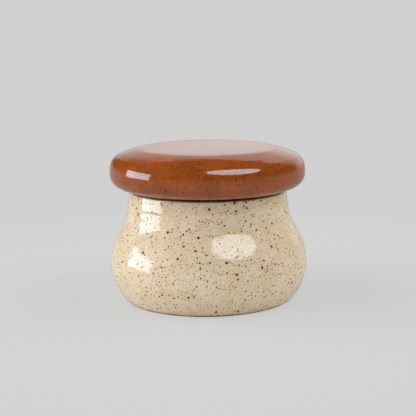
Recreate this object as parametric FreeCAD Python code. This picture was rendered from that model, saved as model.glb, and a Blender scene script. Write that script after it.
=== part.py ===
"""Butter keeper: a round-bellied stoneware pot with a thick, wide lid seated on its rim.

Millimetres, +Z up. The origin is the centre of the foot, on the surface the pot stands on.
Both pieces are turned about the Z axis, so each is one outline swept a full turn.
The keeper is shut, so each piece is solid: the pot up to its rim and the lid right through.
"""
import FreeCAD, Part
import math
import os

# ---- pot ------------------------------------------------------------------------------
POT_HEIGHT = 66.0            # table to the rim that carries the lid
BELLY_RADIUS = 60.0          # the widest ring of the pot
BELLY_HEIGHT = 21.9          # height of that ring above the table
FOOT_UNDERCUT = 8.0          # how far the foot stands in from the belly
FOOT_EDGE_RADIUS = 1.5       # rounding where the glaze stops at the foot
FOOT_FLARE_ANGLE = 43.0      # degrees from level at which the wall leaves the foot
FOOT_RING_WIDTH = 7.0        # flat ring that touches the table
FOOT_RECESS_DEPTH = 1.5      # the trimmed hollow inside the foot ring
RIM_RADIUS = 47.7            # outside of the rim, before its edge is rounded
RIM_EDGE_RADIUS = 1.5        # rounding of the rim under the lid
NECK_LENGTH = 13.9           # the nearly straight neck, from the shoulder up to the rim
NECK_DRAW_IN = 1.8           # how much narrower the rim is than the foot of the neck

# ---- lid ------------------------------------------------------------------------------
LID_OVERHANG = 11.4          # how far the lid stands out past the rim
LID_SEAT_HEIGHT = 1.2        # the low seat that rests on the rim and leaves the dark joint round it
LID_THICKNESS = 24.9         # flat underside to the middle of the top
LID_EDGE_HEIGHT = 10.3       # height of the lid's widest ring above its underside
LID_UNDER_ROLL = 15.2        # width of the rounded underside, outside the flat part
LID_SHOULDER_INSET = 16.5    # where the rounded edge turns into the top, in from the widest ring
LID_SHOULDER_DROP = 0.7      # how far that turn lies below the middle of the top
LID_SHOULDER_SLOPE = 16.0    # degrees from level at that turn

# ---- fullness of each curve: length of its end tangent over the straight distance --------
BELLY_FULLNESS = (0.29, 0.32)        # foot to belly
SHOULDER_FULLNESS = (0.42, 0.28)     # belly to neck
UNDER_ROLL_FULLNESS = (0.78, 0.12)   # lid's flat underside to its widest ring
EDGE_FULLNESS = (0.48, 0.53)         # widest ring to the lid's shoulder
TOP_FULLNESS = (0.06, 0.62)          # lid's shoulder to the middle of the top

# ---- directions in an outline, as (outward, upward) --------------------------------------
UP = (0.0, 1.0)
OUTWARD = (1.0, 0.0)
INWARD = (-1.0, 0.0)

BELOW = math.radians(-90.0)
FULL_TURN = 360.0
AXIS_POINT = FreeCAD.Vector(0, 0, 0)
AXIS = FreeCAD.Vector(0, 0, 1)


def place(point):
    """A point of an outline, given as (radius, height), in the XZ plane."""
    return FreeCAD.Vector(point[0], 0.0, point[1])


def line(start, end):
    return Part.makeLine(place(start), place(end))


def curve(start, leaving, end, arriving, fullness):
    """A smooth curve from start to end that leaves and arrives along the two directions."""
    distance = math.dist(start, end)
    first = [start[i] + leaving[i] * fullness[0] * distance for i in (0, 1)]
    last = [end[i] - arriving[i] * fullness[1] * distance for i in (0, 1)]
    bezier = Part.BezierCurve()
    bezier.setPoles([place(p) for p in (start, first, last, end)])
    return bezier.toShape()


def on_circle(centre, radius, angle):
    return (centre[0] + radius * math.cos(angle), centre[1] + radius * math.sin(angle))


def arc(centre, radius, start_angle, end_angle):
    middle_angle = (start_angle + end_angle) / 2
    points = [on_circle(centre, radius, angle) for angle in (start_angle, middle_angle, end_angle)]
    return Part.Arc(*[place(point) for point in points]).toShape()


def turn(edges):
    """One solid, turned from a closed outline whose last edge runs along the Z axis."""
    face = Part.Face(Part.Wire(edges))
    solid = Part.Solid(face.revolve(AXIS_POINT, AXIS, FULL_TURN))
    if solid.Volume < 0:
        solid.reverse()
    return solid


def foot_edges():
    """Recess, flat foot ring and its rounded outer edge; also where the wall leaves it and how."""
    ring_outer = BELLY_RADIUS - FOOT_UNDERCUT - FOOT_EDGE_RADIUS
    ring_inner = ring_outer - FOOT_RING_WIDTH
    recess = (ring_inner - FOOT_RECESS_DEPTH, FOOT_RECESS_DEPTH)
    flare = math.radians(FOOT_FLARE_ANGLE)
    centre = (ring_outer, FOOT_EDGE_RADIUS)
    edges = [
        line((0.0, FOOT_RECESS_DEPTH), recess),
        line(recess, (ring_inner, 0.0)),
        line((ring_inner, 0.0), (ring_outer, 0.0)),
        arc(centre, FOOT_EDGE_RADIUS, BELOW, BELOW + flare),
    ]
    wall_start = on_circle(centre, FOOT_EDGE_RADIUS, BELOW + flare)
    return edges, wall_start, (math.cos(flare), math.sin(flare))


def neck_edges():
    """The neck leaning in to its rounded rim; also where the neck starts and which way it leans."""
    lean = math.atan2(NECK_DRAW_IN, NECK_LENGTH)
    neck_start = (RIM_RADIUS + NECK_DRAW_IN, POT_HEIGHT - NECK_LENGTH)
    along = (-math.sin(lean), math.cos(lean))
    centre_height = POT_HEIGHT - RIM_EDGE_RADIUS
    wall_radius = neck_start[0] - (centre_height - neck_start[1]) * math.tan(lean)
    centre = (wall_radius - RIM_EDGE_RADIUS / math.cos(lean), centre_height)
    edges = [
        line(neck_start, on_circle(centre, RIM_EDGE_RADIUS, lean)),
        arc(centre, RIM_EDGE_RADIUS, lean, -BELOW),
        line((centre[0], POT_HEIGHT), (0.0, POT_HEIGHT)),
    ]
    return edges, neck_start, along


def make_pot():
    foot, wall_start, flare = foot_edges()
    neck, neck_start, lean = neck_edges()
    belly = (BELLY_RADIUS, BELLY_HEIGHT)
    wall = [
        curve(wall_start, flare, belly, UP, BELLY_FULLNESS),
        curve(belly, UP, neck_start, lean, SHOULDER_FULLNESS),
    ]
    axis = line((0.0, POT_HEIGHT), (0.0, FOOT_RECESS_DEPTH))
    return turn(foot + wall + neck + [axis])


def make_lid():
    """A thick round lid: low seat, rolled underside, rounded edge and a broad, nearly flat top."""
    lid_radius = RIM_RADIUS + LID_OVERHANG
    underside = POT_HEIGHT + LID_SEAT_HEIGHT
    top_height = underside + LID_THICKNESS
    slope = math.radians(LID_SHOULDER_SLOPE)
    over_shoulder = (-math.cos(slope), math.sin(slope))
    seat_centre = (0.0, POT_HEIGHT)
    roll_start = (lid_radius - LID_UNDER_ROLL, underside)
    seat_edge = (roll_start[0] - LID_SEAT_HEIGHT, POT_HEIGHT)
    widest = (lid_radius, underside + LID_EDGE_HEIGHT)
    shoulder = (lid_radius - LID_SHOULDER_INSET, top_height - LID_SHOULDER_DROP)
    middle = (0.0, top_height)
    outline = [
        line(seat_centre, seat_edge),
        line(seat_edge, roll_start),
        curve(roll_start, OUTWARD, widest, UP, UNDER_ROLL_FULLNESS),
        curve(widest, UP, shoulder, over_shoulder, EDGE_FULLNESS),
        curve(shoulder, over_shoulder, middle, INWARD, TOP_FULLNESS),
        line(middle, seat_centre),
    ]
    return turn(outline)


PIECES = {
    "pot": make_pot,
    "lid": make_lid,
}


def main():
    os.makedirs("parts", exist_ok=True)
    for node, make in PIECES.items():
        solid = make()
        if not solid.isValid():
            raise ValueError(node + " is not a valid solid")
        solid.exportStep(os.path.join("parts", node + ".step"))
        box = solid.BoundBox
        print(node, "volume", round(solid.Volume / 1000, 1), "cm3, height", round(box.ZMin, 2), "to",
              round(box.ZMax, 2), "width", round(box.XLength, 2))


main()
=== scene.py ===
"""Butter keeper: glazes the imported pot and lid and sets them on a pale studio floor.

The pot is wheel-thrown stoneware under a glossy cream glaze that iron specks have bled
through, and the lid is the same clay under a glossy honey-brown glaze. Both are turned
again here at a finer grain than the construction model, with the faint throwing lines,
waver and settling of handmade ware.
"""

import math

import bmesh
import bpy
from bpy.props import FloatProperty, FloatVectorProperty, IntProperty, PointerProperty
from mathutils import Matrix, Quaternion, Vector


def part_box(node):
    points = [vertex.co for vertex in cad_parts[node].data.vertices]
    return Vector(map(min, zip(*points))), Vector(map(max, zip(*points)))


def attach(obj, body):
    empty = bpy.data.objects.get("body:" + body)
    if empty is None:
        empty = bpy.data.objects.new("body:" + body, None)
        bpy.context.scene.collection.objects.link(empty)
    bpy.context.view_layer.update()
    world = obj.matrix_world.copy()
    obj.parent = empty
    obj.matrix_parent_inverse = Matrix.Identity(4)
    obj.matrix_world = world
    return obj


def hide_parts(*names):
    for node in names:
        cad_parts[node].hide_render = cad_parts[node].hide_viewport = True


bl_info = {
    "name": "Butter Keeper",
    "version": (1, 0, 0),
    "blender": (4, 5, 0),
    "location": "3D View > Sidebar > Butter Keeper",
    "description": "A stoneware butter keeper: speckled cream pot, honey-brown lid, studio stage",
    "category": "Add Mesh",
}

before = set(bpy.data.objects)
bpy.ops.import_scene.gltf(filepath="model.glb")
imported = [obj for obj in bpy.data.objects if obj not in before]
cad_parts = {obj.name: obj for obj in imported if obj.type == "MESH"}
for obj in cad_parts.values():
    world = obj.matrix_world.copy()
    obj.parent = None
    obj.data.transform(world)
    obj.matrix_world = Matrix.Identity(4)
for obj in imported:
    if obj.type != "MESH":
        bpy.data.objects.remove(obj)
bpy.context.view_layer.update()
POT_LOW, POT_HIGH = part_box("pot")
LID_LOW, LID_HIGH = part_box("lid")

MM = 0.001
PER_METRE = 1000.0

# directions in an outline, as (outward, upward)
UP = (0.0, 1.0)
OUTWARD = (1.0, 0.0)
INWARD = (-1.0, 0.0)
BELOW = math.radians(-90.0)

# how far each curve of an outline keeps its direction, at its start and at its end
FOOT_TO_BELLY = (0.29, 0.32)
BELLY_TO_NECK = (0.42, 0.28)
LID_UNDER_ROLL = (0.83, 0.16)
LID_EDGE = (0.48, 0.53)
LID_TOP = (0.06, 0.62)
LID_SOFTENING = 150

# the finger ring round the neck: how far it lies below the rim, and how wide it is
NECK_RING_DROP = 7.2 * MM
NECK_RING_WIDTH = 1.1 * MM

# the waver's noise, in blotches per metre, and how far the throwing lines wander, in metres
WAVER_SCALE = 26.0
LINE_DRIFT = 0.006

# share of the pot's height above which the rim and the lid lean
LEAN_FROM = 0.6

# the camera: focal length and the point it looks at in millimetres, degrees above level and
# of turn about its own axis, and its distance in metres
LENS = 90.64
CAMERA_AIM = (-0.05, 0.0, 54.2)
CAMERA_ELEVATION = 10.3
CAMERA_ROLL = -0.98
CAMERA_DISTANCE = 0.640


# ---- what a user can change ----------------------------------------------------------------


def length(name, description, default):
    return FloatProperty(name=name, description=description, default=default,
                         unit="LENGTH", subtype="DISTANCE", precision=5)


def angle(name, description, degrees):
    return FloatProperty(name=name, description=description, default=math.radians(degrees),
                         unit="ROTATION", subtype="ANGLE")


def linear(hex_colour):
    """An sRGB hex colour as the linear RGBA that shaders read."""
    channels = [int(hex_colour[i:i + 2], 16) / 255 for i in (1, 3, 5)]
    return [c / 12.92 if c <= 0.04045 else ((c + 0.055) / 1.055) ** 2.4 for c in channels] + [1.0]


def colour(name, description, hex_colour):
    return FloatVectorProperty(name=name, description=description, default=linear(hex_colour),
                               subtype="COLOR", size=4, min=0.0, max=1.0)


class KeeperSizes(bpy.types.PropertyGroup):
    """Sizes of the pot and the lid."""

    belly_radius: length("Belly radius", "Widest ring of the pot", (POT_HIGH.x - POT_LOW.x) / 2)
    belly_height: length("Belly height", "Height of the widest ring above the table", 21.9 * MM)
    pot_height: length("Pot height", "Table to the rim", POT_HIGH.z)
    foot_undercut: length("Foot undercut", "How far the foot stands in from the belly", 8.0 * MM)
    foot_flare: angle("Foot flare", "Slope at which the wall leaves the foot, from level", 43.0)
    foot_ring: length("Foot ring", "Width of the flat ring that stands on the table", 7.0 * MM)
    foot_recess: length("Foot recess", "Depth of the trimmed hollow inside the ring", 1.5 * MM)
    edge_radius: length("Edge radius", "Rounding of the foot", 1.5 * MM)
    rim_edge: length("Rim edge", "Rounding of the rim under the lid", 0.7 * MM)
    rim_radius: length("Rim radius", "Outside of the rim under the lid", 47.7 * MM)
    neck_length: length("Neck length", "Nearly straight neck below the rim", 13.9 * MM)
    neck_draw_in: length("Neck draw-in", "How much narrower the rim is than the neck", 2.0 * MM)
    lid_radius: length("Lid radius", "Widest ring of the lid", (LID_HIGH.x - LID_LOW.x) / 2)
    lid_height: length("Crown height", "Table to the middle of the lid", LID_HIGH.z)
    lid_seat: length("Lid seat", "Height of the low seat that leaves the dark joint", 1.2 * MM)
    lid_edge_height: length("Lid edge height", "Lid's widest ring above its underside", 10.3 * MM)
    lid_under_roll: length("Underside roll", "Width of the rounded underside", 15.2 * MM)
    shoulder_inset: length("Shoulder inset", "Where the edge turns into the top", 16.5 * MM)
    shoulder_drop: length("Shoulder drop", "How far that turn lies below the top", 0.7 * MM)
    shoulder_slope: angle("Shoulder slope", "Slope at that turn, from level", 16.0)
    rim_lean: angle("Rim lean", "How far the rim and the lid on it lie out of level", 0.43)
    rim_shift: length("Rim shift", "How far the rim and the lid stand to one side", -0.06 * MM)
    neck_ring: length("Neck ring", "Height of the finger ring left round the neck", 0.16 * MM)
    ring_pitch: length("Throwing line pitch", "Spacing of the potter's finger lines", 3.4 * MM)
    ring_depth: length("Throwing line depth", "Height of the finger lines", 0.05 * MM)
    waver: length("Waver", "How far the walls stray from a true turn", 0.22 * MM)
    around: IntProperty(name="Faces around", description="Faces in one full turn",
                        default=320, min=32)


class GlazeColours(bpy.types.PropertyGroup):
    """Colours of the glazes and the bare clay."""

    cream: colour("Cream", "Cream glaze where it lies thick", "#EFDEC2")
    cream_thin: colour("Thin cream", "Cream glaze where the clay warms it", "#E6D2AC")
    cream_speck: colour("Speck", "Iron speck melted into the cream", "#3A2412")
    cream_freckle: colour("Freckle", "Faint freckle under the cream", "#A87A4A")
    brown: colour("Honey brown", "Brown glaze where it lies thin", "#A85218")
    brown_pool: colour("Pooled brown", "Brown glaze where it lies thick", "#924815")
    brown_speck: colour("Iron speck", "Iron speck in the brown glaze", "#2E1408")
    clay: colour("Bare clay", "Unglazed fired clay of the foot", "#B48A5C")
    paper: colour("Studio paper", "Floor near the keeper", "#DCDCDB")
    backdrop: colour("Backdrop", "Backdrop and the floor away from the keeper", "#D0D1D0")


# ---- nodes and meshes ------------------------------------------------------------------------


def add(tree, kind, inputs=None, **settings):
    """One node in the tree; an input is a value, or a socket to link from."""
    node = tree.nodes.new(kind)
    for name, value in settings.items():
        setattr(node, name, value)
    for key, value in (inputs or {}).items():
        if isinstance(value, bpy.types.NodeSocket):
            tree.links.new(value, node.inputs[key])
        else:
            node.inputs[key].default_value = value
    return node


def maths(tree, operation, *values, clamp=False):
    node = add(tree, "ShaderNodeMath", dict(enumerate(values)),
               operation=operation, use_clamp=clamp)
    return node.outputs[0]


def curve(start, leaving, end, arriving, fullness, steps):
    """Points of a smooth curve that leaves and arrives along two directions."""
    distance = math.dist(start, end)
    first = [start[i] + leaving[i] * fullness[0] * distance for i in (0, 1)]
    last = [end[i] - arriving[i] * fullness[1] * distance for i in (0, 1)]
    points = []
    for step in range(steps + 1):
        t = step / steps
        weights = ((1 - t) ** 3, 3 * t * (1 - t) ** 2, 3 * t * t * (1 - t), t ** 3)
        points.append(tuple(sum(w * p[i] for w, p in zip(weights, (start, first, last, end)))
                            for i in (0, 1)))
    return points


def arc(centre, radius, start_angle, end_angle, steps):
    angles = [start_angle + (end_angle - start_angle) * step / steps for step in range(steps + 1)]
    return [(centre[0] + radius * math.cos(a), centre[1] + radius * math.sin(a)) for a in angles]


def line(start, end, steps):
    return [tuple(start[i] + (end[i] - start[i]) * step / steps for i in (0, 1))
            for step in range(steps + 1)]


def soften(points, passes):
    """The same run of points with its tight turns eased, as a wet sponge eases wet clay."""
    for _ in range(passes):
        eased = [tuple((a[i] + 2 * b[i] + c[i]) / 4 for i in (0, 1))
                 for a, b, c in zip(points, points[1:], points[2:])]
        points = [points[0]] + eased + [points[-1]]
    return points


class Outline:
    """Half of a turned piece, from its axis round to its axis, and how far each point may stray."""

    def __init__(self):
        self.points = []
        self.stray = []

    def extend(self, points, stray):
        """Adds points; stray goes evenly from its first value to its last along them."""
        skip = 1 if self.points and math.dist(self.points[-1], points[0]) < 0.01 * MM else 0
        for i in range(skip, len(points)):
            share = i / (len(points) - 1)
            self.points.append(points[i])
            self.stray.append(stray[0] + (stray[1] - stray[0]) * share)

    def as_object(self, name):
        mesh = bpy.data.meshes.new(name)
        edges = [(i, i + 1) for i in range(len(self.points) - 1)]
        mesh.from_pydata([(r, 0.0, z) for r, z in self.points], edges, [])
        mesh.attributes.new("stray", "FLOAT", "POINT").data.foreach_set("value", self.stray)
        piece = bpy.data.objects.new(name, mesh)
        bpy.context.scene.collection.objects.link(piece)
        return piece


def pot_outline(s):
    """Foot recess, foot ring, belly, shoulder, neck, rim and the top that the lid covers."""
    outline = Outline()
    ring_outer = s.belly_radius - s.foot_undercut - s.edge_radius
    ring_inner = ring_outer - s.foot_ring
    recess = (ring_inner - s.foot_recess, s.foot_recess)
    foot = arc((ring_outer, s.edge_radius), s.edge_radius, BELOW, BELOW + s.foot_flare, 8)
    belly = (s.belly_radius, s.belly_height)
    lean = math.atan2(s.neck_draw_in, s.neck_length)
    neck_start = (s.rim_radius + s.neck_draw_in, s.pot_height - s.neck_length)
    centre_height = s.pot_height - s.rim_edge
    wall_radius = neck_start[0] - (centre_height - neck_start[1]) * math.tan(lean)
    rim_centre = (wall_radius - s.rim_edge / math.cos(lean), centre_height)
    rim = arc(rim_centre, s.rim_edge, lean, -BELOW, 8)
    outline.extend(line((0.0, s.foot_recess), recess, 10), (0.0, 0.0))
    outline.extend(line(recess, (ring_inner, 0.0), 4), (0.0, 0.0))
    outline.extend(line((ring_inner, 0.0), (ring_outer, 0.0), 6), (0.0, 0.0))
    outline.extend(foot, (0.0, 0.1))
    flare = (math.cos(s.foot_flare), math.sin(s.foot_flare))
    outline.extend(curve(foot[-1], flare, belly, UP, FOOT_TO_BELLY, 60), (0.1, 1.0))
    up_neck = (-math.sin(lean), math.cos(lean))
    outline.extend(curve(belly, UP, neck_start, up_neck, BELLY_TO_NECK, 84), (1.0, 1.0))
    ring_height = s.pot_height - NECK_RING_DROP
    neck = [(r + s.neck_ring * math.exp(-((z - ring_height) / NECK_RING_WIDTH) ** 2), z)
            for r, z in line(neck_start, rim[0], 64)]
    outline.extend(neck, (1.0, 0.4))
    outline.extend(rim, (0.4, 0.0))
    outline.extend(line(rim[-1], (0.0, s.pot_height), 8), (0.0, 0.0))
    return outline


def lid_outline(s):
    """Low seat, rolled underside, rounded edge and the broad, nearly flat top."""
    outline = Outline()
    underside = s.pot_height + s.lid_seat
    over_shoulder = (-math.cos(s.shoulder_slope), math.sin(s.shoulder_slope))
    roll_start = (s.lid_radius - s.lid_under_roll, underside)
    seat_edge = (roll_start[0] - s.lid_seat, s.pot_height)
    widest = (s.lid_radius, underside + s.lid_edge_height)
    shoulder = (s.lid_radius - s.shoulder_inset, s.lid_height - s.shoulder_drop)
    outline.extend(line((0.0, s.pot_height), seat_edge, 12), (0.0, 0.0))
    outline.extend(line(seat_edge, roll_start, 4), (0.0, 0.0))
    outline.extend(curve(roll_start, OUTWARD, widest, UP, LID_UNDER_ROLL, 60), (0.0, 1.0))
    edge = curve(widest, UP, shoulder, over_shoulder, LID_EDGE, 60)
    top = curve(shoulder, over_shoulder, (0.0, s.lid_height), INWARD, LID_TOP, 96)
    half = len(edge) // 2
    outline.extend(edge[:half + 1], (1.0, 1.0))
    outline.extend(soften(edge[half:] + top[1:], LID_SOFTENING), (1.0, 1.0))
    return outline


def wheel_tree():
    """Geometry Nodes: turns an outline round the Z axis, with throwing lines and waver."""
    tree = bpy.data.node_groups.new("Potter's wheel", "GeometryNodeTree")
    face = tree.interface
    face.new_socket("Outline", in_out="INPUT", socket_type="NodeSocketGeometry")
    for name, kind in (("Faces around", "NodeSocketInt"), ("Line pitch", "NodeSocketFloat"),
                       ("Line depth", "NodeSocketFloat"), ("Waver", "NodeSocketFloat"),
                       ("Seed", "NodeSocketFloat"), ("Glaze", "NodeSocketMaterial")):
        face.new_socket(name, in_out="INPUT", socket_type=kind)
    face.new_socket("Piece", in_out="OUTPUT", socket_type="NodeSocketGeometry")
    given = add(tree, "NodeGroupInput").outputs

    rows = add(tree, "GeometryNodeAttributeDomainSize",
               {"Geometry": given["Outline"]}).outputs["Point Count"]
    columns = maths(tree, "ADD", given["Faces around"], 1.0)
    sheet = add(tree, "GeometryNodeMeshGrid", {"Size X": 1.0, "Size Y": 1.0, "Vertices X": columns,
                                               "Vertices Y": rows}).outputs["Mesh"]
    place = add(tree, "GeometryNodeInputPosition").outputs[0]
    where = add(tree, "ShaderNodeSeparateXYZ", {0: place}).outputs
    turn = maths(tree, "MULTIPLY", maths(tree, "ADD", where["X"], 0.5), math.tau)
    last_row = maths(tree, "SUBTRACT", rows, 1.0)
    row = maths(tree, "MULTIPLY", maths(tree, "ADD", where["Y"], 0.5), last_row)
    row = maths(tree, "ROUND", row)

    def on_outline(value, data_type, offset):
        index = maths(tree, "MAXIMUM", maths(tree, "ADD", row, offset), 0.0)
        index = maths(tree, "MINIMUM", index, last_row)
        return add(tree, "GeometryNodeSampleIndex",
                   {"Geometry": given["Outline"], "Value": value, "Index": index},
                   data_type=data_type, domain="POINT").outputs["Value"]

    stray = add(tree, "GeometryNodeInputNamedAttribute", {"Name": "stray"},
                data_type="FLOAT").outputs[0]
    here = add(tree, "ShaderNodeSeparateXYZ", {0: on_outline(place, "FLOAT_VECTOR", 0.0)}).outputs
    before = on_outline(place, "FLOAT_VECTOR", -1.0)
    after = on_outline(place, "FLOAT_VECTOR", 1.0)
    run = add(tree, "ShaderNodeVectorMath", {0: after, 1: before}, operation="SUBTRACT").outputs[0]
    run = add(tree, "ShaderNodeVectorMath", {0: run}, operation="NORMALIZE").outputs[0]
    run = add(tree, "ShaderNodeSeparateXYZ", {0: run}).outputs
    cosine = maths(tree, "COSINE", turn)
    sine = maths(tree, "SINE", turn)

    def turned(radius, height):
        return add(tree, "ShaderNodeCombineXYZ", {"X": maths(tree, "MULTIPLY", radius, cosine),
                                                  "Y": maths(tree, "MULTIPLY", radius, sine),
                                                  "Z": height}).outputs[0]

    true_place = turned(here["X"], here["Z"])
    slow = add(tree, "ShaderNodeTexNoise",
               {"Vector": true_place, "W": given["Seed"], "Scale": WAVER_SCALE, "Detail": 1.0},
               noise_dimensions="4D").outputs[0]
    slow = maths(tree, "SUBTRACT", slow, 0.5)
    drift = maths(tree, "MULTIPLY", slow, LINE_DRIFT)
    along = add(tree, "ShaderNodeCombineXYZ",
                {"X": here["X"], "Y": here["Z"], "Z": drift}).outputs[0]
    line_scale = maths(tree, "DIVIDE", 1.0, given["Line pitch"])
    lines = add(tree, "ShaderNodeTexNoise",
                {"Vector": along, "W": given["Seed"], "Scale": line_scale, "Detail": 2.0},
                noise_dimensions="4D").outputs[0]
    lines = maths(tree, "MULTIPLY", maths(tree, "SUBTRACT", lines, 0.5), given["Line depth"])
    slow = maths(tree, "MULTIPLY", slow, given["Waver"])
    lift = maths(tree, "MULTIPLY", maths(tree, "ADD", lines, slow), 2.0)
    lift = maths(tree, "MULTIPLY", lift, on_outline(stray, "FLOAT", 0.0))
    radius = maths(tree, "ADD", here["X"], maths(tree, "MULTIPLY", lift, run["Z"]))
    height = maths(tree, "SUBTRACT", here["Z"], maths(tree, "MULTIPLY", lift, run["X"]))

    moved = add(tree, "GeometryNodeSetPosition",
                {"Geometry": sheet, "Position": turned(radius, height)})
    closed = add(tree, "GeometryNodeMergeByDistance",
                 {"Geometry": moved.outputs[0], "Distance": 0.001 * MM})
    smooth = add(tree, "GeometryNodeSetShadeSmooth", {"Geometry": closed.outputs[0]})
    real = add(tree, "GeometryNodeRealizeInstances", {"Geometry": smooth.outputs[0]})
    glazed = add(tree, "GeometryNodeSetMaterial",
                 {"Geometry": real.outputs[0], "Material": given["Glaze"]})
    add(tree, "NodeGroupOutput", {0: glazed.outputs[0]})
    return tree


def thrown(name, outline, sizes, seed, material):
    """The outline turned on the wheel, as a plain closed mesh with its faces outward."""
    piece = outline.as_object(name)
    tree = bpy.data.node_groups.get("Potter's wheel") or wheel_tree()
    wheel = piece.modifiers.new("Wheel", "NODES")
    wheel.node_group = tree
    given = {"Faces around": sizes.around, "Line pitch": sizes.ring_pitch,
             "Line depth": sizes.ring_depth, "Waver": sizes.waver, "Seed": seed, "Glaze": material}
    for socket in tree.interface.items_tree:
        if socket.in_out == "INPUT" and socket.name in given:
            wheel[socket.identifier] = given[socket.name]
    turned = piece.evaluated_get(bpy.context.evaluated_depsgraph_get())
    mesh = bpy.data.meshes.new_from_object(turned)
    mesh.name = name
    piece.modifiers.remove(wheel)
    piece.data = mesh
    work = bmesh.new()
    work.from_mesh(mesh)
    bmesh.ops.recalc_face_normals(work, faces=work.faces)
    if work.calc_volume(signed=True) < 0:
        bmesh.ops.reverse_faces(work, faces=work.faces)
    work.to_mesh(mesh)
    work.free()
    return piece


def settle(piece, sizes):
    """Leans and shifts what lies at and above the rim, fading out down the shoulder of the pot."""
    start = LEAN_FROM * sizes.pot_height
    for vertex in piece.data.vertices:
        share = min(max((vertex.co.z - start) / (sizes.pot_height - start), 0.0), 1.0)
        share = share * share * (3 - 2 * share)
        vertex.co.z -= math.tan(sizes.rim_lean) * vertex.co.x * share
        vertex.co.x += sizes.rim_shift * share


def finish_piece(piece, node):
    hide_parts(node)
    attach(piece, "root")


# ---- glazes ----------------------------------------------------------------------------------


def new_material(name):
    material = bpy.data.materials.new(name)
    material.use_nodes = True
    material.node_tree.nodes.clear()
    return material, material.node_tree


def in_millimetres(tree):
    """Object coordinates, in millimetres, so that every scale below is one over a real size."""
    place = add(tree, "ShaderNodeTexCoord").outputs["Object"]
    return add(tree, "ShaderNodeMapping", {"Vector": place, "Scale": (PER_METRE,) * 3}).outputs[0]


def noise(tree, where, grain, detail=2.0, roughness=0.5):
    """Soft noise whose blotches are about grain millimetres across."""
    return add(tree, "ShaderNodeTexNoise", {"Vector": where, "Scale": 1.0 / grain, "Detail": detail,
                                            "Roughness": roughness}).outputs[0]


def ragged(tree, where, grain, reach):
    """Coordinates pushed about by reach millimetres, so that spots lose their round edges."""
    push = add(tree, "ShaderNodeTexNoise", {"Vector": where, "Scale": 1.0 / grain, "Detail": 1.0})
    centred = add(tree, "ShaderNodeVectorMath", {0: push.outputs["Color"], 1: (0.5, 0.5, 0.5)},
                  operation="SUBTRACT").outputs[0]
    scaled = add(tree, "ShaderNodeVectorMath", {0: centred, "Scale": reach},
                 operation="SCALE").outputs[0]
    return add(tree, "ShaderNodeVectorMath", {0: where, 1: scaled}, operation="ADD").outputs[0]


def spots(tree, where, spacing, radius, share, softness):
    """Mask of round spots: one in each cell of spacing millimetres, kept in that share of cells."""
    cells = add(tree, "ShaderNodeTexVoronoi", {"Vector": where, "Scale": 1.0 / spacing})
    chance = add(tree, "ShaderNodeSeparateColor", {0: cells.outputs["Color"]}).outputs
    kept = maths(tree, "LESS_THAN", chance[0], share)
    reach = maths(tree, "MULTIPLY_ADD", chance[1], radius * 0.9, radius * 0.45)
    distance = maths(tree, "MULTIPLY", cells.outputs["Distance"], spacing)
    inside = maths(tree, "SUBTRACT", reach, distance)
    mask = maths(tree, "DIVIDE", inside, softness, clamp=True)
    return maths(tree, "MULTIPLY", mask, kept)


def blend(tree, amount, first, second):
    """Mixes two colours, each a socket or a linear RGBA."""
    mix = add(tree, "ShaderNodeMix", {0: amount, 6: first, 7: second}, data_type="RGBA")
    return mix.outputs[2]


def between(tree, value, low, high, out_low=0.0, out_high=1.0):
    return add(tree, "ShaderNodeMapRange", {0: value, 1: low, 2: high, 3: out_low, 4: out_high},
               interpolation_type="SMOOTHSTEP").outputs[0]


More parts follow.
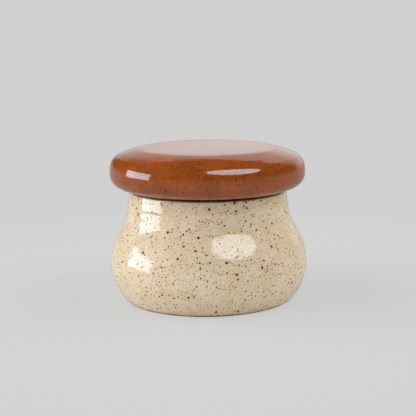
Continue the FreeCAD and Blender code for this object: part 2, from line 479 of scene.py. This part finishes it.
def speckled_cream_glaze(colours):
    """Cream stoneware glaze: a glassy coat through which iron in the clay bleeds as brown-black
    specks, over blotches of thicker and thinner cream. Bare ochre clay shows at the foot."""
    material, tree = new_material("speckled cream glaze")
    where = in_millimetres(tree)
    height = add(tree, "ShaderNodeSeparateXYZ", {0: where}).outputs["Z"]
    blotch = between(tree, noise(tree, where, 11.0, 3.0, 0.6), 0.30, 0.72)
    fleck = between(tree, noise(tree, where, 0.6, 2.0, 0.6), 0.36, 0.68)
    body = blend(tree, blotch, tuple(colours.cream), tuple(colours.cream_thin))
    body = blend(tree, maths(tree, "MULTIPLY", fleck, 0.34), body, tuple(colours.cream_freckle))

    edges = ragged(tree, where, 0.6, 0.45)
    freckles = spots(tree, edges, 1.40, 0.48, 0.55, 0.20)
    small = spots(tree, edges, 1.80, 0.54, 0.52, 0.16)
    large = spots(tree, edges, 3.00, 0.66, 0.37, 0.18)
    halo = spots(tree, edges, 3.00, 1.05, 0.37, 0.6)
    body = blend(tree, maths(tree, "MULTIPLY", freckles, 0.60), body, tuple(colours.cream_freckle))
    body = blend(tree, maths(tree, "MULTIPLY", halo, 0.30), body, tuple(colours.cream_freckle))
    body = blend(tree, maths(tree, "MULTIPLY", small, 0.80), body, tuple(colours.cream_speck))
    body = blend(tree, maths(tree, "MULTIPLY", large, 0.95), body, tuple(colours.cream_speck))

    # the glaze stops a little above the table, along an uneven line
    line_height = maths(tree, "MULTIPLY_ADD", noise(tree, where, 6.0), 1.2, 0.5)
    bare = between(tree, maths(tree, "SUBTRACT", line_height, height), -0.25, 0.25)
    grit = noise(tree, where, 0.5, 3.0)
    clay = blend(tree, grit, tuple(colours.clay), linear("#8F6A43"))
    body = blend(tree, bare, body, clay)

    ripple = maths(tree, "MULTIPLY", noise(tree, where, 5.0, 1.0), 0.05)
    peel = maths(tree, "MULTIPLY", noise(tree, where, 1.1, 1.0), 0.006)
    pits = maths(tree, "MULTIPLY", maths(tree, "ADD", large, small), -0.012)
    sand = maths(tree, "MULTIPLY", maths(tree, "MULTIPLY", grit, bare), 0.12)
    relief = maths(tree, "ADD", maths(tree, "ADD", ripple, peel), maths(tree, "ADD", pits, sand))
    bump = add(tree, "ShaderNodeBump",
               {"Strength": 1.0, "Distance": MM, "Height": relief}).outputs[0]
    roughness = maths(tree, "MULTIPLY_ADD", bare, 0.65, between(tree, fleck, 0.0, 1.0, 0.07, 0.12))
    shader = add(tree, "ShaderNodeBsdfPrincipled", {"Base Color": body, "Roughness": roughness,
                                                    "IOR": 1.55, "Normal": bump})
    add(tree, "ShaderNodeOutputMaterial", {"Surface": shader.outputs[0]})
    return material


def honey_brown_glaze(colours):
    """Honey-brown iron glaze: clear and deep, darker where it pools, with fine iron specks, a few
    pinholes and hair-fine streaks left by the wheel."""
    material, tree = new_material("honey-brown glaze")
    where = in_millimetres(tree)
    axes = add(tree, "ShaderNodeSeparateXYZ", {0: where}).outputs
    pool = between(tree, noise(tree, where, 14.0, 3.0, 0.6), 0.34, 0.68)
    fleck = between(tree, noise(tree, where, 0.6, 2.0), 0.38, 0.70)
    body = blend(tree, pool, tuple(colours.brown), tuple(colours.brown_pool))
    body = blend(tree, maths(tree, "MULTIPLY", fleck, 0.36), body, tuple(colours.brown_speck))

    edges = ragged(tree, where, 0.6, 0.4)
    small = spots(tree, edges, 1.20, 0.40, 0.55, 0.14)
    large = spots(tree, edges, 3.00, 0.58, 0.42, 0.16)
    body = blend(tree, maths(tree, "MULTIPLY", small, 0.70), body, tuple(colours.brown_speck))
    body = blend(tree, maths(tree, "MULTIPLY", large, 0.85), body, tuple(colours.brown_speck))

    radius = maths(tree, "SQRT", maths(tree, "ADD", maths(tree, "MULTIPLY", axes["X"], axes["X"]),
                                       maths(tree, "MULTIPLY", axes["Y"], axes["Y"])))
    drift = maths(tree, "MULTIPLY", noise(tree, where, 30.0), 6.0)
    streak_place = add(tree, "ShaderNodeCombineXYZ",
                       {"X": radius, "Y": axes["Z"], "Z": drift}).outputs[0]
    streaks = maths(tree, "MULTIPLY", noise(tree, streak_place, 1.3, 2.0), 0.012)
    ripple = maths(tree, "MULTIPLY", noise(tree, where, 6.0, 1.0), 0.05)
    peel = maths(tree, "MULTIPLY", noise(tree, where, 1.0, 1.0), 0.005)
    pits = maths(tree, "MULTIPLY", maths(tree, "ADD", large, small), -0.012)
    relief = maths(tree, "ADD", maths(tree, "ADD", ripple, peel), maths(tree, "ADD", streaks, pits))
    bump = add(tree, "ShaderNodeBump",
               {"Strength": 1.0, "Distance": MM, "Height": relief}).outputs[0]
    roughness = between(tree, fleck, 0.0, 1.0, 0.06, 0.11)
    shader = add(tree, "ShaderNodeBsdfPrincipled", {"Base Color": body, "Roughness": roughness,
                                                    "IOR": 1.62, "Normal": bump})
    add(tree, "ShaderNodeOutputMaterial", {"Surface": shader.outputs[0]})
    return material


def studio_paper(colours):
    """Matt seamless paper: even, pale and grey, with a barely visible tooth. Away from the keeper
    it shows its own even grey to the eye and to the glazes, so it runs on into the backdrop."""
    material, tree = new_material("studio paper")
    where = in_millimetres(tree)
    tooth = blend(tree, noise(tree, where, 2.0), tuple(colours.paper),
                  tuple(0.99 * c for c in colours.paper))
    lit = add(tree, "ShaderNodeBsdfPrincipled", {"Base Color": tooth, "Roughness": 0.9, "IOR": 1.45,
                                                 "Specular IOR Level": 0.0})
    path = add(tree, "ShaderNodeLightPath").outputs
    strength = maths(tree, "SUBTRACT", 1.0, maths(tree, "MULTIPLY", path["Is Glossy Ray"], 0.3))
    far = add(tree, "ShaderNodeEmission", {"Color": tuple(colours.backdrop), "Strength": strength})
    seen = maths(tree, "MAXIMUM", path["Is Camera Ray"], path["Is Glossy Ray"])
    seen = maths(tree, "MAXIMUM", seen, path["Is Transmission Ray"])
    distance = add(tree, "ShaderNodeVectorMath", {0: where}, operation="LENGTH").outputs["Value"]
    fade = maths(tree, "MULTIPLY", between(tree, distance, 100.0, 320.0, 0.72, 1.0), seen)
    shader = add(tree, "ShaderNodeMixShader", {0: fade, 1: lit.outputs[0], 2: far.outputs[0]})
    add(tree, "ShaderNodeOutputMaterial", {"Surface": shader.outputs[0]})
    return material


# ---- stage -----------------------------------------------------------------------------------


def floor_mesh():
    """A wide sheet of paper that the keeper stands on; it ends a little way in front."""
    mesh = bpy.data.meshes.new("floor")
    front, back, side = -0.60, 3.0, 2.5
    corners = [(-side, front, 0.0), (side, front, 0.0), (side, back, 0.0), (-side, back, 0.0)]
    mesh.from_pydata(corners, [], [(0, 1, 2, 3)])
    return mesh


def studio_world(colours):
    """The room round the keeper. The eye sees one even grey backdrop. The glazes mirror a backdrop
    that stands behind and to the right, brightest low down and cut off straight along its top,
    in a dim room. Matt surfaces are lit by a plain fill that comes mostly from the two sides."""
    world = bpy.data.worlds.new("studio")
    world.use_nodes = True
    tree = world.node_tree
    tree.nodes.clear()
    way = add(tree, "ShaderNodeTexCoord").outputs["Generated"]
    axes = add(tree, "ShaderNodeSeparateXYZ", {0: way}).outputs
    degrees = maths(tree, "MULTIPLY", maths(tree, "ARCSINE", axes["Z"]), math.degrees(1.0))
    level = add(tree, "ShaderNodeVectorMath", {0: way, 1: (1.0, 1.0, 0.0)},
                operation="MULTIPLY").outputs[0]
    level = add(tree, "ShaderNodeVectorMath", {0: level}, operation="NORMALIZE").outputs[0]
    middle = add(tree, "ShaderNodeVectorMath", {0: level, 1: tuple(toward(163.0, 0.0))},
                 operation="DOT_PRODUCT").outputs["Value"]
    behind = between(tree, middle, math.cos(math.radians(42.0)), math.cos(math.radians(12.0)))
    glow = between(tree, degrees, 0.0, 8.0, 0.64, 0.95)
    glow = maths(tree, "ADD", glow, between(tree, degrees, 10.0, 26.0, 0.0, -0.20))
    backdrop = maths(tree, "MULTIPLY", glow, between(tree, degrees, 38.0, 40.0, 1.0, 0.04))
    room = between(tree, degrees, 0.0, 6.0, 0.35, 0.04)
    mirrored = add(tree, "ShaderNodeMix", {0: behind, 2: room, 3: backdrop}).outputs[0]
    left = maths(tree, "MULTIPLY", between(tree, axes["X"], -0.30, -0.95, 0.0, 2.75),
                 between(tree, axes["Z"], -0.05, 0.45, 0.50, 1.05))
    right = maths(tree, "MULTIPLY", between(tree, axes["X"], 0.25, 0.90, 0.0, 1.70),
                  between(tree, axes["Z"], 0.0, 0.45, 0.26, 1.15))
    above = between(tree, axes["Z"], 0.0, 0.5, 0.0, 0.34)
    fill = maths(tree, "ADD", maths(tree, "ADD", left, right), above)
    path = add(tree, "ShaderNodeLightPath").outputs
    in_glaze = maths(tree, "MAXIMUM", path["Is Glossy Ray"], path["Is Transmission Ray"])
    level_shown = add(tree, "ShaderNodeMix", {0: in_glaze, 2: fill, 3: mirrored}).outputs[0]
    shown = add(tree, "ShaderNodeCombineColor",
                {0: level_shown, 1: level_shown, 2: level_shown}).outputs[0]
    shown = blend(tree, path["Is Camera Ray"], shown, tuple(colours.backdrop))
    background = add(tree, "ShaderNodeBackground", {"Color": shown, "Strength": 1.0})
    add(tree, "ShaderNodeOutputWorld", {"Surface": background.outputs[0]})
    return world


def toward(azimuth, elevation):
    """Unit vector from the keeper: azimuth 0 is to the front, and 90 to the right of that view."""
    a, e = math.radians(azimuth), math.radians(elevation)
    return Vector((math.sin(a) * math.cos(e), -math.cos(a) * math.cos(e), math.sin(e)))


def softbox(name, azimuths, elevations, distance, sheen, light, tint="#FFFFFF", shape="RECTANGLE"):
    """A flat lamp that faces the keeper and spans those degrees as seen from it. sheen is how
    bright its face looks in the glazes, light how bright it is for matt surfaces."""
    azimuth, elevation = sum(azimuths) / 2, sum(elevations) / 2
    width = 2 * distance * math.tan(math.radians(azimuths[1] - azimuths[0]) / 2)
    height = 2 * distance * math.tan(math.radians(elevations[1] - elevations[0]) / 2)
    middle = Vector((0.0, 0.0, 0.05))
    for part, radiance in (("sheen", sheen), ("light", light)):
        lamp = bpy.data.lights.new(name + " " + part, "AREA")
        lamp.shape = shape
        lamp.size = width
        lamp.size_y = height
        face = width * height * (math.pi / 4 if shape == "ELLIPSE" else 1.0)
        lamp.energy = radiance * math.pi * face
        lamp.color = linear(tint)[:3]
        holder = bpy.data.objects.new(lamp.name, lamp)
        holder.location = middle + toward(azimuth, elevation) * distance
        holder.rotation_mode = "QUATERNION"
        holder.rotation_quaternion = (middle - holder.location).to_track_quat("-Z", "Y")
        holder.visible_camera = False
        holder.visible_glossy = part == "sheen"
        holder.visible_diffuse = part == "light"
        bpy.context.scene.collection.objects.link(holder)


def set_camera():
    """A long lens, a little above the lid and turned very slightly about its own axis."""
    camera = bpy.data.objects.new("camera", bpy.data.cameras.new("camera"))
    camera.data.lens = LENS
    camera.data.sensor_width = 36.0
    camera.data.clip_start = 0.05
    camera.data.clip_end = 20.0
    aim = Vector(CAMERA_AIM) * MM
    camera.location = aim + toward(0.0, CAMERA_ELEVATION) * CAMERA_DISTANCE
    camera.rotation_mode = "QUATERNION"
    level = (aim - camera.location).to_track_quat("-Z", "Y")
    camera.rotation_quaternion = level @ Quaternion((0.0, 0.0, 1.0), math.radians(CAMERA_ROLL))
    bpy.context.scene.collection.objects.link(camera)
    bpy.context.scene.camera = camera


# ---- operators -------------------------------------------------------------------------------


class BUTTERKEEPER_OT_pot(bpy.types.Operator):
    """Throw the pot and glaze it cream"""

    bl_idname = "butterkeeper.pot"
    bl_label = "Throw the pot"

    def execute(self, context):
        sizes = context.scene.keeper_sizes
        glaze = speckled_cream_glaze(context.scene.keeper_colours)
        piece = thrown("cream_pot", pot_outline(sizes), sizes, 3.0, glaze)
        settle(piece, sizes)
        finish_piece(piece, "pot")
        return {"FINISHED"}


class BUTTERKEEPER_OT_lid(bpy.types.Operator):
    """Throw the lid and glaze it honey brown"""

    bl_idname = "butterkeeper.lid"
    bl_label = "Throw the lid"

    def execute(self, context):
        sizes = context.scene.keeper_sizes
        glaze = honey_brown_glaze(context.scene.keeper_colours)
        piece = thrown("brown_lid", lid_outline(sizes), sizes, 7.0, glaze)
        settle(piece, sizes)
        finish_piece(piece, "lid")
        return {"FINISHED"}


class BUTTERKEEPER_OT_stage(bpy.types.Operator):
    """Set up the pale floor, the soft lamps and the camera"""

    bl_idname = "butterkeeper.stage"
    bl_label = "Set the stage"

    def execute(self, context):
        scene = context.scene
        floor = bpy.data.objects.new("floor", floor_mesh())
        floor.data.materials.append(studio_paper(scene.keeper_colours))
        scene.collection.objects.link(floor)
        softbox("window", azimuths=(-105.8, -68.5), elevations=(-1.4, 18.8), distance=1.2,
                sheen=6.6, light=3.0, tint="#E2EEFF")
        softbox("front softbox", azimuths=(13.5, 68.0), elevations=(28.0, 71.5), distance=2.0,
                sheen=5.7, light=1.5, tint="#EEF6FF", shape="ELLIPSE")
        scene.world = studio_world(scene.keeper_colours)
        scene.view_settings.view_transform = "Standard"
        set_camera()
        return {"FINISHED"}


class BUTTERKEEPER_PT_panel(bpy.types.Panel):
    """Sizes, colours and makers of the butter keeper"""

    bl_idname = "BUTTERKEEPER_PT_panel"
    bl_label = "Butter Keeper"
    bl_space_type = "VIEW_3D"
    bl_region_type = "UI"
    bl_category = "Butter Keeper"

    def draw(self, context):
        for group in (context.scene.keeper_sizes, context.scene.keeper_colours):
            column = self.layout.column(align=True)
            for name in group.__annotations__:
                column.prop(group, name)
        for operator in MAKERS:
            self.layout.operator(operator.bl_idname)


MAKERS = (BUTTERKEEPER_OT_stage, BUTTERKEEPER_OT_pot, BUTTERKEEPER_OT_lid)
CLASSES = (KeeperSizes, GlazeColours) + MAKERS + (BUTTERKEEPER_PT_panel,)


def register():
    for each in CLASSES:
        bpy.utils.register_class(each)
    bpy.types.Scene.keeper_sizes = PointerProperty(type=KeeperSizes)
    bpy.types.Scene.keeper_colours = PointerProperty(type=GlazeColours)


def unregister():
    del bpy.types.Scene.keeper_colours
    del bpy.types.Scene.keeper_sizes
    for each in reversed(CLASSES):
        bpy.utils.unregister_class(each)


def main():
    register()
    bpy.ops.butterkeeper.stage()
    bpy.ops.butterkeeper.pot()
    bpy.ops.butterkeeper.lid()


if __name__ == "__main__":
    main()
